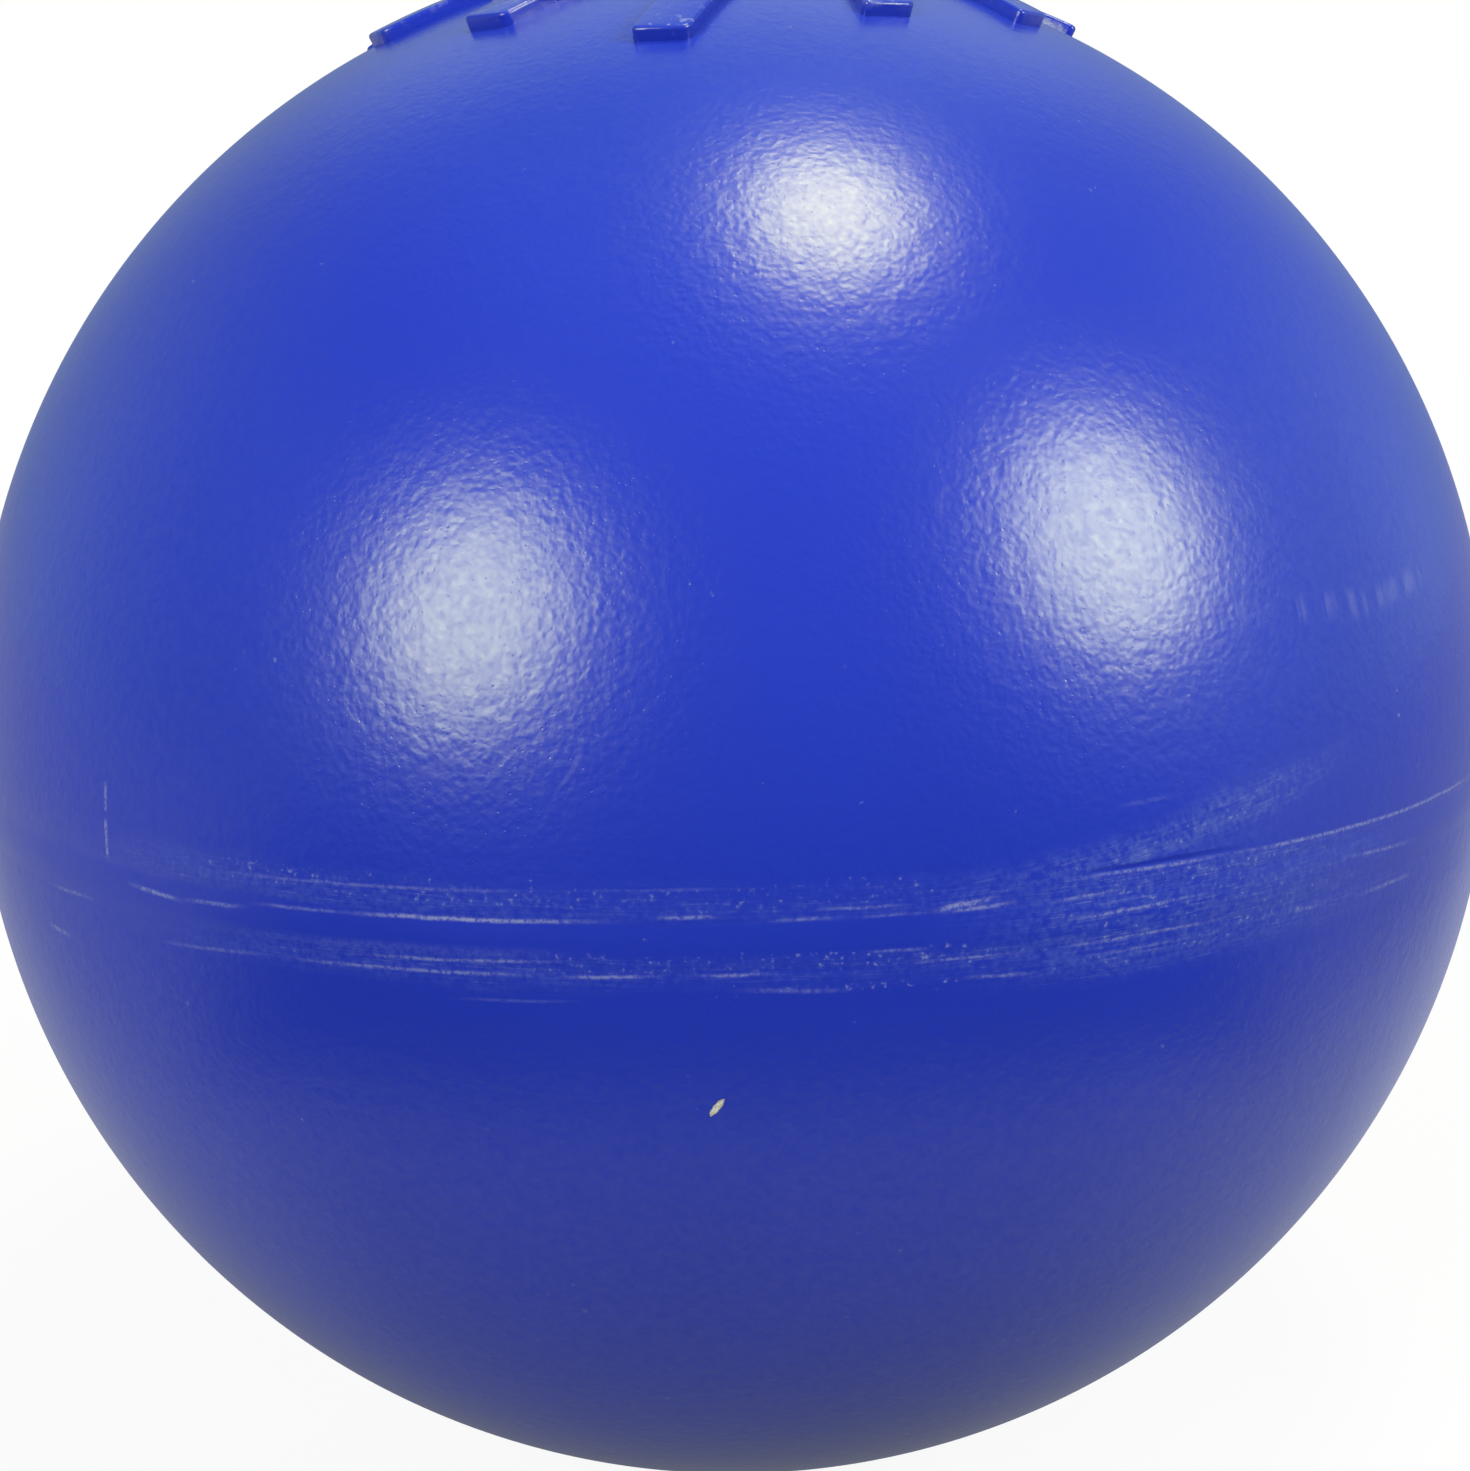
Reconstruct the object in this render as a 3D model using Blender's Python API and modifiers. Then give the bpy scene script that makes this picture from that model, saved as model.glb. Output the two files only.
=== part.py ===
"""Hollow hard-plastic dog ball, 250 mm across, with a screw plug underneath for water or sand.

Two thick polyethylene half shells are butt-welded round the middle. The weld's outer bead is
skived off to a narrow land, and its inner bead is left as a double roll. The upper half carries
a ring of raised tread bars. The lower half ends in a flat landing, on which the ball stands, round
a recessed screw plug. The plug runs in a threaded insert that is moulded into a boss, and it seals
with a rubber ring in the insert's mouth.

Metres, +Z up. The origin is the centre of the landing, and -Y is the front.
"""

import math

import bmesh
import bpy
from mathutils import Vector

# Shells and weld
BALL_RADIUS = 0.125
WALL = 0.006
WELD_LAND_WIDTH = 0.0068
WELD_WEB = 0.0016
WELD_PROUD = 0.0002

# Raised tread bars round the top: arcs are measured over the surface from the top pole
BAR_COUNT = 12
BAR_LONG_EVERY = 4
BAR_HEAD_ARC = 0.042
BAR_FOOT_ARC = 0.059
BAR_LONG_EXTRA = 0.0075
BAR_WIDTH = 0.0075
BAR_RELIEF = 0.002
BAR_ROOT = 0.002
BAR_SLANT = 20.0
BAR_FIRST_AZIMUTH = 1.0
BAR_EDGE = 0.0005

# Screw plug and its coin slot
SHANK_RADIUS = 0.013
SHANK_LENGTH = 0.0165
NECK_RELIEF = 0.0006
PLUG_WALL = 0.003
HEAD_THICKNESS = 0.0047
HEAD_OVERLAP = 0.0015
HEAD_CLEARANCE = 0.0008
HEAD_RECESS = 0.001
COIN_RADIUS = 0.013
SLOT_WIDTH = 0.0032
SLOT_FLOOR = 0.002

# Sealing ring, threaded insert and the boss that holds it
RING_SECTION = 0.0026
INSERT_LENGTH = 0.018
GLAND_WALL = 0.002
FLANGE_REACH = 0.002
FLANGE_THICKNESS = 0.004
FLANGE_SETBACK = 0.006
BOSS_WALL = 0.0045
BOSS_FILLET = 0.004
LANDING_WIDTH = 0.005

# Small edges and the gap that neighbouring pieces keep
EDGE_CHAMFER = 0.0006
FIT_GAP = 0.0003

# How finely round shapes are cut
SHELL_STEPS = 64
OUTER_RINGS = 14
INNER_RINGS = 8
FILLER_STEPS = 40
RING_SIDES = 10
ROLL_SIDES = 4
FILLET_SIDES = 3
BAR_PIECES = 2
CUT_MARGIN = 0.002
MERGE_DISTANCE = 0.00001
SHARP_ANGLE = math.radians(35)

# Sizes that follow from the ones above
INNER_RADIUS = BALL_RADIUS - WALL
NECK_RADIUS = SHANK_RADIUS - NECK_RELIEF
BORE_RADIUS = SHANK_RADIUS + FIT_GAP
RING_RADIUS = NECK_RADIUS + FIT_GAP + RING_SECTION / 2
GLAND_RADIUS = RING_RADIUS + RING_SECTION / 2 + FIT_GAP
GLAND_DEPTH = RING_SECTION + FIT_GAP
INSERT_RADIUS = GLAND_RADIUS + GLAND_WALL
HEAD_RADIUS = INSERT_RADIUS + FIT_GAP + HEAD_OVERLAP
RECESS_RADIUS = HEAD_RADIUS + HEAD_CLEARANCE
LANDING_RADIUS = RECESS_RADIUS + LANDING_WIDTH
HEX_SIDES = 6
HEX_CORNER = 1 / math.cos(math.pi / HEX_SIDES)
FLANGE_RADIUS = (INSERT_RADIUS + FLANGE_REACH) * HEX_CORNER
BOSS_RADIUS = FLANGE_RADIUS + FIT_GAP * HEX_CORNER + BOSS_WALL
CENTRE_HEIGHT = math.sqrt(BALL_RADIUS**2 - LANDING_RADIUS**2)
FACE_HEIGHT = HEAD_RECESS + HEAD_THICKNESS + FIT_GAP

SHELL_BLUE = (0.022, 0.047, 0.50, 1.0)
PLUG_BLUE = (0.018, 0.038, 0.42, 1.0)
INSERT_BLACK = (0.020, 0.020, 0.022, 1.0)
RUBBER_BLACK = (0.012, 0.012, 0.012, 1.0)


def clear_scene():
    for obj in list(bpy.data.objects):
        bpy.data.objects.remove(obj, do_unlink=True)


def collection(name):
    made = bpy.data.collections.new(name)
    bpy.context.scene.collection.children.link(made)
    return made


def material(name, colour, roughness):
    made = bpy.data.materials.new(name)
    made.use_nodes = True
    shader = made.node_tree.nodes["Principled BSDF"]
    shader.inputs["Base Color"].default_value = colour
    shader.inputs["Roughness"].default_value = roughness
    shader.inputs["Metallic"].default_value = 0.0
    return made


def place(obj, group, parent=None):
    """Moves obj to one collection and, with its local place kept, under its parent empty."""
    for old in list(obj.users_collection):
        old.objects.unlink(obj)
    group.objects.link(obj)
    obj.parent = parent
    return obj


def guide(name, group, height):
    empty = bpy.data.objects.new(name, None)
    empty.location = (0, 0, height)
    empty.empty_display_size = WALL
    return place(empty, group)


def arc(radius, start, end, count, centre=(0.0, 0.0)):
    """Points of an arc in the (r, z) plane. Angles are in radians, from +Z towards +r."""
    angles = [start + (end - start) * i / count for i in range(count + 1)]
    return [(centre[0] + radius * math.sin(a), centre[1] + radius * math.cos(a)) for a in angles]


def mirrored(points):
    """The same profile points below the plane z = 0, in the opposite order."""
    return [(r, -z) for r, z in reversed(points)]


def turned(name, profile, steps, closed=False):
    """A solid of revolution about Z. The (r, z) profile runs down its outer side."""
    mesh = bpy.data.meshes.new(name)
    edges = [(i, i + 1) for i in range(len(profile) - 1)]
    if closed:
        edges.append((len(profile) - 1, 0))
    mesh.from_pydata([(r, 0, z) for r, z in profile], edges, [])
    obj = bpy.data.objects.new(name, mesh)
    screw = obj.modifiers.new("Turn", "SCREW")
    screw.axis = "Z"
    screw.steps = screw.render_steps = steps
    screw.use_merge_vertices = True
    screw.merge_threshold = MERGE_DISTANCE
    return obj


def prism(name, radius, low, high, sides):
    """An upright prism, round or hexagonal, between two heights."""
    bpy.ops.mesh.primitive_cylinder_add(
        vertices=sides, radius=radius, depth=high - low, location=(0, 0, (low + high) / 2)
    )
    obj = bpy.context.object
    obj.name = obj.data.name = name
    return obj


def combine(part, tool, operation):
    boolean = part.modifiers.new(operation.title() + " " + tool.name, "BOOLEAN")
    boolean.operation = operation
    boolean.solver = "EXACT"
    boolean.object = tool


def as_tool(obj, group, parent):
    obj.hide_render = True
    obj.display_type = "WIRE"
    return place(obj, group, parent)


def finish(part, finish_material):
    """Settles the modifiers into the mesh, shades it smooth between its sharp edges and paints it."""
    bpy.context.view_layer.update()
    evaluated = part.evaluated_get(bpy.context.evaluated_depsgraph_get())
    mesh = bpy.data.meshes.new_from_object(evaluated)
    part.modifiers.clear()
    part.data = mesh
    mesh.name = part.name
    mesh.shade_smooth()
    mesh.set_sharp_from_angle(angle=SHARP_ANGLE)
    mesh.materials.clear()
    mesh.materials.append(finish_material)


def rim(surface_radius, half_width):
    """The point where a sphere of this radius meets the weld's edge, above the middle plane."""
    return (math.sqrt(surface_radius**2 - half_width**2), half_width)


def shell_rim():
    """Outer edge, mid-wall ridge and inner edge of a half shell's bevelled rim."""
    edge = WELD_LAND_WIDTH / 2 + FIT_GAP
    ridge = (BALL_RADIUS - WALL / 2, WELD_WEB / 2 + FIT_GAP)
    return [rim(BALL_RADIUS, edge), ridge, rim(INNER_RADIUS, edge)]


def colatitude(point):
    return math.atan2(point[0], point[1])


def bend_bar(verts, azimuth, foot_arc):
    """Lays a unit block over the ball as one slanted bar, with its two ends cut along parallels."""
    slant = math.radians(BAR_SLANT)
    side_width = BAR_WIDTH / math.cos(slant)
    for vert in verts:
        run = (0.5 - vert.co.y) * (foot_arc - BAR_HEAD_ARC)
        tilt = (BAR_HEAD_ARC + run) / BALL_RADIUS
        sideways = vert.co.x * side_width - run * math.tan(slant)
        turn = azimuth + sideways / (BALL_RADIUS * math.sin(tilt))
        radius = BALL_RADIUS + (BAR_RELIEF if vert.co.z > 0 else -BAR_ROOT)
        outward = Vector((math.sin(turn), -math.cos(turn), 0))
        vert.co = (outward * math.sin(tilt) + Vector((0, 0, 1)) * math.cos(tilt)) * radius


def tread_ring():
    """The ring of raised bars: every so many bars, one reaches further down."""
    mesh = bmesh.new()
    bmesh.ops.create_cube(mesh, size=1)
    runs = [e for e in mesh.edges if abs(e.verts[0].co.y - e.verts[1].co.y) > 0.5]
    bmesh.ops.subdivide_edges(mesh, edges=runs, cuts=BAR_PIECES - 1, use_grid_fill=True)
    block = mesh.verts[:] + mesh.edges[:] + mesh.faces[:]
    for index in range(BAR_COUNT):
        azimuth = math.radians(BAR_FIRST_AZIMUTH) + math.tau * index / BAR_COUNT
        extra = BAR_LONG_EXTRA if index % BAR_LONG_EVERY == 0 else 0
        copied = bmesh.ops.duplicate(mesh, geom=block)["geom"]
        bend_bar([v for v in copied if isinstance(v, bmesh.types.BMVert)], azimuth, BAR_FOOT_ARC + extra)
    bmesh.ops.delete(mesh, geom=[v for v in block if isinstance(v, bmesh.types.BMVert)], context="VERTS")
    bmesh.ops.recalc_face_normals(mesh, faces=mesh.faces)
    data = bpy.data.meshes.new("tread_ring")
    mesh.to_mesh(data)
    mesh.free()
    ring = bpy.data.objects.new("tread_ring", data)
    bevel = ring.modifiers.new("Soft edges", "BEVEL")
    bevel.width = BAR_EDGE
    bevel.segments = 1
    bevel.limit_method = "ANGLE"
    bevel.angle_limit = SHARP_ANGLE
    return ring


def upper_shell(parts, tools, centre):
    edge, ridge, inside = shell_rim()
    outer = arc(BALL_RADIUS, 0, colatitude(edge), OUTER_RINGS)
    inner = arc(INNER_RADIUS, colatitude(inside), 0, INNER_RINGS)
    shell = place(turned("upper_shell", outer + [ridge] + inner, SHELL_STEPS), parts, centre)
    combine(shell, as_tool(tread_ring(), tools, centre), "UNION")
    return shell


def boss_fillet():
    """The hollow fillet between the boss and the inside of the lower shell, from the boss outwards."""
    r = BOSS_RADIUS + BOSS_FILLET
    z = -math.sqrt((INNER_RADIUS - BOSS_FILLET) ** 2 - r**2)
    return arc(BOSS_FILLET, -math.pi / 2, math.atan2(r, z) - math.tau, FILLET_SIDES, (r, z))


def lower_shell(parts, tools, centre, filler):
    edge, ridge, inside = [(r, -z) for r, z in shell_rim()]
    boss_top = FACE_HEIGHT + INSERT_LENGTH - CENTRE_HEIGHT
    landing = -CENTRE_HEIGHT
    recess_floor = FACE_HEIGHT - CENTRE_HEIGHT
    fillet = boss_fillet()
    inner = arc(INNER_RADIUS, colatitude(fillet[-1]), colatitude(inside), INNER_RINGS)
    outer = arc(BALL_RADIUS, colatitude(edge), colatitude((LANDING_RADIUS, landing)), OUTER_RINGS)
    profile = [
        (0, boss_top),
        (BOSS_RADIUS - EDGE_CHAMFER, boss_top),
        (BOSS_RADIUS, boss_top - EDGE_CHAMFER),
        *fillet,
        *inner[1:],
        ridge,
        *outer,
        (RECESS_RADIUS + EDGE_CHAMFER, landing),
        (RECESS_RADIUS, landing + EDGE_CHAMFER),
        (RECESS_RADIUS, recess_floor),
        (0, recess_floor),
    ]
    shell = place(turned("lower_shell", profile, SHELL_STEPS), parts, centre)
    barrel = prism(
        "insert_pocket", INSERT_RADIUS + FIT_GAP, -CUT_MARGIN, INSERT_LENGTH + CUT_MARGIN, FILLER_STEPS
    )
    combine(shell, as_tool(barrel, tools, filler), "DIFFERENCE")
    combine(shell, as_tool(flange("flange_pocket", FIT_GAP), tools, filler), "DIFFERENCE")
    return shell


def seam_weld(parts, centre):
    """Fused zone between the rims: skived land outside, double roll inside."""
    half = WELD_LAND_WIDTH / 2
    land_radius = math.sqrt((BALL_RADIUS + WELD_PROUD) ** 2 - half**2)
    inner_edge = rim(INNER_RADIUS, half)
    web = (BALL_RADIUS - WALL / 2, WELD_WEB / 2)
    roll = arc(half / 2, math.pi, math.tau, ROLL_SIDES, (inner_edge[0], -half / 2))
    lower = [(land_radius, -half), (web[0], -web[1]), *roll[:-1]]
    notch = [(inner_edge[0], 0)]
    profile = lower + notch + mirrored(lower)
    return place(turned("seam_weld", profile, SHELL_STEPS, closed=True), parts, centre)


def flange(name, clearance):
    """The insert's hexagonal anchor flange, or its pocket when a clearance is given."""
    low = FLANGE_SETBACK - clearance
    high = FLANGE_SETBACK + FLANGE_THICKNESS + clearance
    return prism(name, FLANGE_RADIUS + clearance * HEX_CORNER, low, high, HEX_SIDES)


def threaded_insert(parts, tools, filler):
    """Moulded-in insert: its mouth, at z = 0 of the filler axis, holds the sealing ring's gland."""
    insert = prism("threaded_insert", INSERT_RADIUS, 0, INSERT_LENGTH, FILLER_STEPS)
    place(insert, parts, filler)
    combine(insert, as_tool(flange("anchor_flange", 0), tools, filler), "UNION")
    bore = turned(
        "insert_bore",
        [
            (0, INSERT_LENGTH + CUT_MARGIN),
            (BORE_RADIUS, INSERT_LENGTH + CUT_MARGIN),
            (BORE_RADIUS, GLAND_DEPTH),
            (GLAND_RADIUS, GLAND_DEPTH),
            (GLAND_RADIUS, -CUT_MARGIN),
            (0, -CUT_MARGIN),
        ],
        FILLER_STEPS,
    )
    combine(insert, as_tool(bore, tools, filler), "DIFFERENCE")
    return insert


def filler_plug(parts, tools, filler):
    """Screw plug with a hollow shank, a flush head and a coin slot in its face."""
    seat = -FIT_GAP
    face = seat - HEAD_THICKNESS
    hollow = NECK_RADIUS - PLUG_WALL
    profile = [
        (0, seat),
        (hollow, seat),
        (hollow, SHANK_LENGTH),
        (SHANK_RADIUS - EDGE_CHAMFER, SHANK_LENGTH),
        (SHANK_RADIUS, SHANK_LENGTH - EDGE_CHAMFER),
        (SHANK_RADIUS, GLAND_DEPTH + NECK_RELIEF),
        (NECK_RADIUS, GLAND_DEPTH),
        (NECK_RADIUS, seat),
        (HEAD_RADIUS - EDGE_CHAMFER, seat),
        (HEAD_RADIUS, seat - EDGE_CHAMFER),
        (HEAD_RADIUS, face + EDGE_CHAMFER),
        (HEAD_RADIUS - EDGE_CHAMFER, face),
        (0, face),
    ]
    plug = place(turned("filler_plug", profile, FILLER_STEPS), parts, filler)
    slot = prism("coin_slot", COIN_RADIUS, -SLOT_WIDTH / 2, SLOT_WIDTH / 2, FILLER_STEPS)
    slot.rotation_euler = (math.pi / 2, 0, 0)
    slot.location = (0, 0, seat - SLOT_FLOOR - COIN_RADIUS)
    combine(plug, as_tool(slot, tools, filler), "DIFFERENCE")
    return plug


def sealing_ring(parts, filler):
    bpy.ops.mesh.primitive_torus_add(
        major_radius=RING_RADIUS,
        minor_radius=RING_SECTION / 2,
        major_segments=FILLER_STEPS,
        minor_segments=RING_SIDES,
        location=(0, 0, RING_SECTION / 2),
    )
    ring = bpy.context.object
    ring.name = ring.data.name = "sealing_ring"
    return place(ring, parts, filler)


def build():
    clear_scene()
    parts = collection("dog_ball")
    tools = collection("cutters")
    centre = guide("ball_centre", parts, CENTRE_HEIGHT)
    filler = guide("filler_axis", parts, FACE_HEIGHT)

    shell_plastic = material("shell_polyethylene", SHELL_BLUE, 0.32)
    plug_plastic = material("plug_polyethylene", PLUG_BLUE, 0.40)
    insert_plastic = material("insert_nylon", INSERT_BLACK, 0.45)
    rubber = material("ring_rubber", RUBBER_BLACK, 0.60)

    painted = [
        (upper_shell(parts, tools, centre), shell_plastic),
        (lower_shell(parts, tools, centre, filler), shell_plastic),
        (seam_weld(parts, centre), shell_plastic),
        (threaded_insert(parts, tools, filler), insert_plastic),
        (filler_plug(parts, tools, filler), plug_plastic),
        (sealing_ring(parts, filler), rubber),
    ]
    for part, plastic in painted:
        finish(part, plastic)


build()
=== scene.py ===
import math
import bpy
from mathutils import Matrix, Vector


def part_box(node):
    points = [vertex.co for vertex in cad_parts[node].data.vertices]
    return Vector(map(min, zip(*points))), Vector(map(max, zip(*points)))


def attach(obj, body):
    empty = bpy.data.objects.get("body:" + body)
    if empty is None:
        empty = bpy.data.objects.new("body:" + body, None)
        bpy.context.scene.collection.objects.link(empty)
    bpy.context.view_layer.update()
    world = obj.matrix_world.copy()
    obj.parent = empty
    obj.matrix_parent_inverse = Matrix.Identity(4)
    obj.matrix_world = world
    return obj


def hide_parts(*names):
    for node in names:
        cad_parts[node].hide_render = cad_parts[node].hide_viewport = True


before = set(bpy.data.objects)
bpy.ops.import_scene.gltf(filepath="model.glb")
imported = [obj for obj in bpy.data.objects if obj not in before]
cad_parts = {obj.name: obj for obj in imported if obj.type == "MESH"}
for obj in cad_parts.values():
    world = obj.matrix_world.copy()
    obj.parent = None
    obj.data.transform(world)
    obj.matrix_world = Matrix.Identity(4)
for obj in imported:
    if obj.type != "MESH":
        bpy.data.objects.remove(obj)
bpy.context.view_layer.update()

from types import SimpleNamespace

import bmesh
import bpy
from mathutils import Matrix, Vector, noise

scene = bpy.context.scene
scene.view_settings.view_transform = "Standard"
mm = 0.001
hair = 0.01 * mm      # closer than this is the same place
seamLow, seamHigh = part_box("seam_weld")
insertLow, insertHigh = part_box("threaded_insert")
plugLow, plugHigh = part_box("filler_plug")
ringLow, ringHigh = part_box("sealing_ring")
seamHeight = (seamLow.z + seamHigh.z) / 2
print("frame loaded:", len(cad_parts), "nodes")


# mesh helpers

def arcPoints(radius, start, end, count, centre=(0, 0)):
    # (r, z) points, angles in degrees down from the pole
    angles = [math.radians(start + (end - start) * i / count) for i in range(count + 1)]
    return [(centre[0] + radius * math.sin(a), centre[1] + radius * math.cos(a)) for a in angles]


def lathe(points, steps, closed=False):
    bm = bmesh.new()
    verts = [bm.verts.new((r, 0, z)) for r, z in points]
    pairs = list(zip(verts, verts[1:]))
    if closed:
        pairs.append((verts[-1], verts[0]))
    edges = [bm.edges.new(pair) for pair in pairs]
    bmesh.ops.spin(bm, geom=verts + edges, cent=(0, 0, 0), axis=(0, 0, 1),
                   angle=math.tau, steps=steps, use_merge=True)
    bmesh.ops.remove_doubles(bm, verts=bm.verts, dist=0.001 * mm)
    bmesh.ops.recalc_face_normals(bm, faces=bm.faces)
    return bm


def softenEdges(bm, edges, width, segments):
    bmesh.ops.bevel(bm, geom=edges, offset=width, offset_type="OFFSET", affect="EDGES",
                    segments=segments, profile=0.5, material=-1, clamp_overlap=True)


def sharpEdges(bm, degrees):
    limit = math.radians(degrees)
    return [e for e in bm.edges if len(e.link_faces) == 2 and e.calc_face_angle(0) > limit]


def toObject(bm, name):
    mesh = bpy.data.meshes.new(name)
    bm.to_mesh(mesh)
    bm.free()
    made = bpy.data.objects.new(name, mesh)
    scene.collection.objects.link(made)
    return made


def carve(piece, tool, operation):
    # one Boolean, settled into the mesh straight away
    cut = piece.modifiers.new("carve", "BOOLEAN")
    cut.operation = operation
    cut.solver = "MANIFOLD"
    cut.object = tool
    bpy.context.view_layer.update()
    settled = piece.evaluated_get(bpy.context.evaluated_depsgraph_get())
    mesh = bpy.data.meshes.new_from_object(settled)
    piece.modifiers.clear()
    old = piece.data
    piece.data = mesh
    bpy.data.meshes.remove(old)
    bpy.data.objects.remove(tool)
    piece.data.name = piece.name


def dress(piece, material, node, body, sharpAngle=32):
    piece.data.materials.clear()
    piece.data.materials.append(material)
    piece.data.shade_smooth()
    piece.data.set_sharp_from_angle(angle=math.radians(sharpAngle))
    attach(piece, body)
    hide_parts(node)
    print("piece:", piece.name, len(piece.data.polygons), "faces")


# material helpers

class Graph:
    # node tree of a material or a world, with sockets passed about as values
    def __init__(self, owner):
        owner.use_nodes = True
        self.tree = owner.node_tree
        self.where = self.tree.nodes.new("ShaderNodeTexCoord").outputs

    def put(self, socket, value):
        if isinstance(value, bpy.types.NodeSocket):
            self.tree.links.new(value, socket)
        else:
            socket.default_value = value

    def math(self, operation, a, b=0.0, c=0.0, clamp=False):
        made = self.tree.nodes.new("ShaderNodeMath")
        made.operation = operation
        made.use_clamp = clamp
        for socket, value in zip(made.inputs, (a, b, c)):
            self.put(socket, value)
        return made.outputs[0]

    def times(self, *factors):
        total = factors[0]
        for factor in factors[1:]:
            total = self.math("MULTIPLY", total, factor)
        return total

    def plus(self, *terms):
        total = terms[0]
        for term in terms[1:]:
            total = self.math("ADD", total, term)
        return total

    def most(self, *values):
        total = values[0]
        for value in values[1:]:
            total = self.math("MAXIMUM", total, value)
        return total

    def minus(self, first, second):
        return self.math("SUBTRACT", first, second)

    def square(self, value):
        return self.math("POWER", value, 2.0)

    def off(self, value, centre=0.0):
        # distance to either side of the centre
        return self.math("ABSOLUTE", self.minus(value, centre))

    def ease(self, value, low, high, start=0.0, end=1.0):
        # smooth step from start to end while value goes from low to high
        made = self.tree.nodes.new("ShaderNodeMapRange")
        made.interpolation_type = "SMOOTHSTEP"
        for socket, given in zip(made.inputs, (value, low, high, start, end)):
            self.put(socket, given)
        return made.outputs[0]

    def line(self, value, low, high, start, end, clamp=True):
        made = self.tree.nodes.new("ShaderNodeMapRange")
        made.clamp = clamp
        for socket, given in zip(made.inputs, (value, low, high, start, end)):
            self.put(socket, given)
        return made.outputs[0]

    def between(self, value, low, high, soft):
        # 1 from low to high, with soft edges
        return self.times(self.ease(value, low - soft, low + soft),
                          self.ease(value, high - soft, high + soft, 1.0, 0.0))

    def sway(self, noiseValue, low, high):
        # a noise keeps mostly to its middle, so that part is spread from low to high
        return self.line(noiseValue, 0.3, 0.7, low, high)

    def stretch(self, vector, scale):
        made = self.tree.nodes.new("ShaderNodeMapping")
        self.put(made.inputs["Vector"], vector)
        made.inputs["Scale"].default_value = scale
        return made.outputs[0]

    def grain(self, vector, scale, detail=2.0, roughness=0.5, distortion=0.0):
        made = self.tree.nodes.new("ShaderNodeTexNoise")
        self.put(made.inputs["Vector"], vector)
        made.inputs["Scale"].default_value = scale
        made.inputs["Detail"].default_value = detail
        made.inputs["Roughness"].default_value = roughness
        made.inputs["Distortion"].default_value = distortion
        return made.outputs[0]

    def cells(self, vector, scale):
        made = self.tree.nodes.new("ShaderNodeTexVoronoi")
        self.put(made.inputs["Vector"], vector)
        made.inputs["Scale"].default_value = scale
        return made.outputs["Distance"], made.outputs["Color"]

    def parts(self, vector):
        made = self.tree.nodes.new("ShaderNodeSeparateXYZ")
        self.put(made.inputs[0], vector)
        return made.outputs[0], made.outputs[1], made.outputs[2]

    def length(self, vector):
        made = self.tree.nodes.new("ShaderNodeVectorMath")
        made.operation = "LENGTH"
        self.put(made.inputs[0], vector)
        return made.outputs["Value"]

    def join(self, x, y, z):
        made = self.tree.nodes.new("ShaderNodeCombineXYZ")
        for socket, value in zip(made.inputs, (x, y, z)):
            self.put(socket, value)
        return made.outputs[0]

    def blend(self, amount, first, second):
        made = self.tree.nodes.new("ShaderNodeMix")
        made.data_type = "RGBA"
        self.put(made.inputs["Factor"], amount)
        self.put(made.inputs["A"], first)
        self.put(made.inputs["B"], second)
        return made.outputs["Result"]

    def mixed(self, amount, first, second):
        # two shaders
        made = self.tree.nodes.new("ShaderNodeMixShader")
        for socket, value in zip(made.inputs, (amount, first.outputs[0], second.outputs[0])):
            self.put(socket, value)
        return made

    def seenAs(self, rays, shine, bounce):
        # white to the eye, its own light to shiny surfaces and to what it lights
        return self.plus(rays["Is Camera Ray"], rays["Is Transmission Ray"],
                         self.times(rays["Is Glossy Ray"], shine), self.times(rays["Is Diffuse Ray"], bounce))

    def bump(self, height):
        # height is in metres
        made = self.tree.nodes.new("ShaderNodeBump")
        made.inputs["Strength"].default_value = 1.0
        made.inputs["Distance"].default_value = 1.0
        self.put(made.inputs["Height"], height)
        return made.outputs[0]

    def set(self, sockets):
        shader = self.tree.nodes["Principled BSDF"]
        for name, value in sockets.items():
            self.put(shader.inputs[name], value)


def rgb(red, green, blue):
    return (red, green, blue, 1.0)


shell = {
    "radius": 125 * mm,
    "wall": 6 * mm,
    "steps": 288,
    "outerRings": 104,
    "innerRings": 28,
    "rimGap": 2.5 * mm,      # outer edge of each rim from the seam plane, under the weld's land
    "rimInside": 3.7 * mm,
    "ridge": 1.1 * mm,
}

# blue polyethylene of both shells and the weld, with its grain and wear, and painted shade in the groove and
# round the fleck

skin = {
    "blue": rgb(0.0166, 0.0398, 0.476),
    "deepBlue": rgb(0.0150, 0.0365, 0.447),
    "hazeBlue": rgb(0.072, 0.112, 0.475),
    "whitened": rgb(0.40, 0.44, 0.62),
    # painted shade: a darker blue for the groove above the long line and the ring round the fleck
    "paintedShadeBlue": rgb(0.010, 0.026, 0.34),
    "straw": rgb(0.52, 0.47, 0.29),
    "paleStraw": rgb(0.72, 0.74, 0.68),
    "shineTint": rgb(0.96, 1.0, 0.40),
    "ior": 1.54,
    "blueDrift": (0.35, 0.68),      # of the slow noise, from one blue to the other
    "roughness": 0.262,
    "roughDrift": (0.25, 0.75, -0.010, 0.010),
    "wornRougher": (0.15, 0.40, 0.0, 0.10),
    "crumbGloss": (0.57, 0.43),     # specular level, from the low to the high of a noise
    "cloudGloss": (0.09, -0.09),    # and what a coarser one adds
    "slowScale": 14,                # noises: features in a metre, or the size of one
    "patchScale": 55,
    "cloudSize": 1.7 * mm,
    "crumbSize": 0.74 * mm,
    "fineSize": 0.34 * mm,
    "peelSize": 0.86 * mm,
    "peelHeight": 0.037 * mm,
    "waveSize": 2.2 * mm,
    "waveHeight": 0.050 * mm,
    "pitSize": 0.80 * mm,
    "pitDepth": 0.016 * mm,
    "pitEdge": (0.26, 0.06),
    "pitPick": (0.2, 1.0),
    "landRelief": 0.3,              # share of the peel left on the skived land
    "grooveDepth": 0.05 * mm,
}

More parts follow.
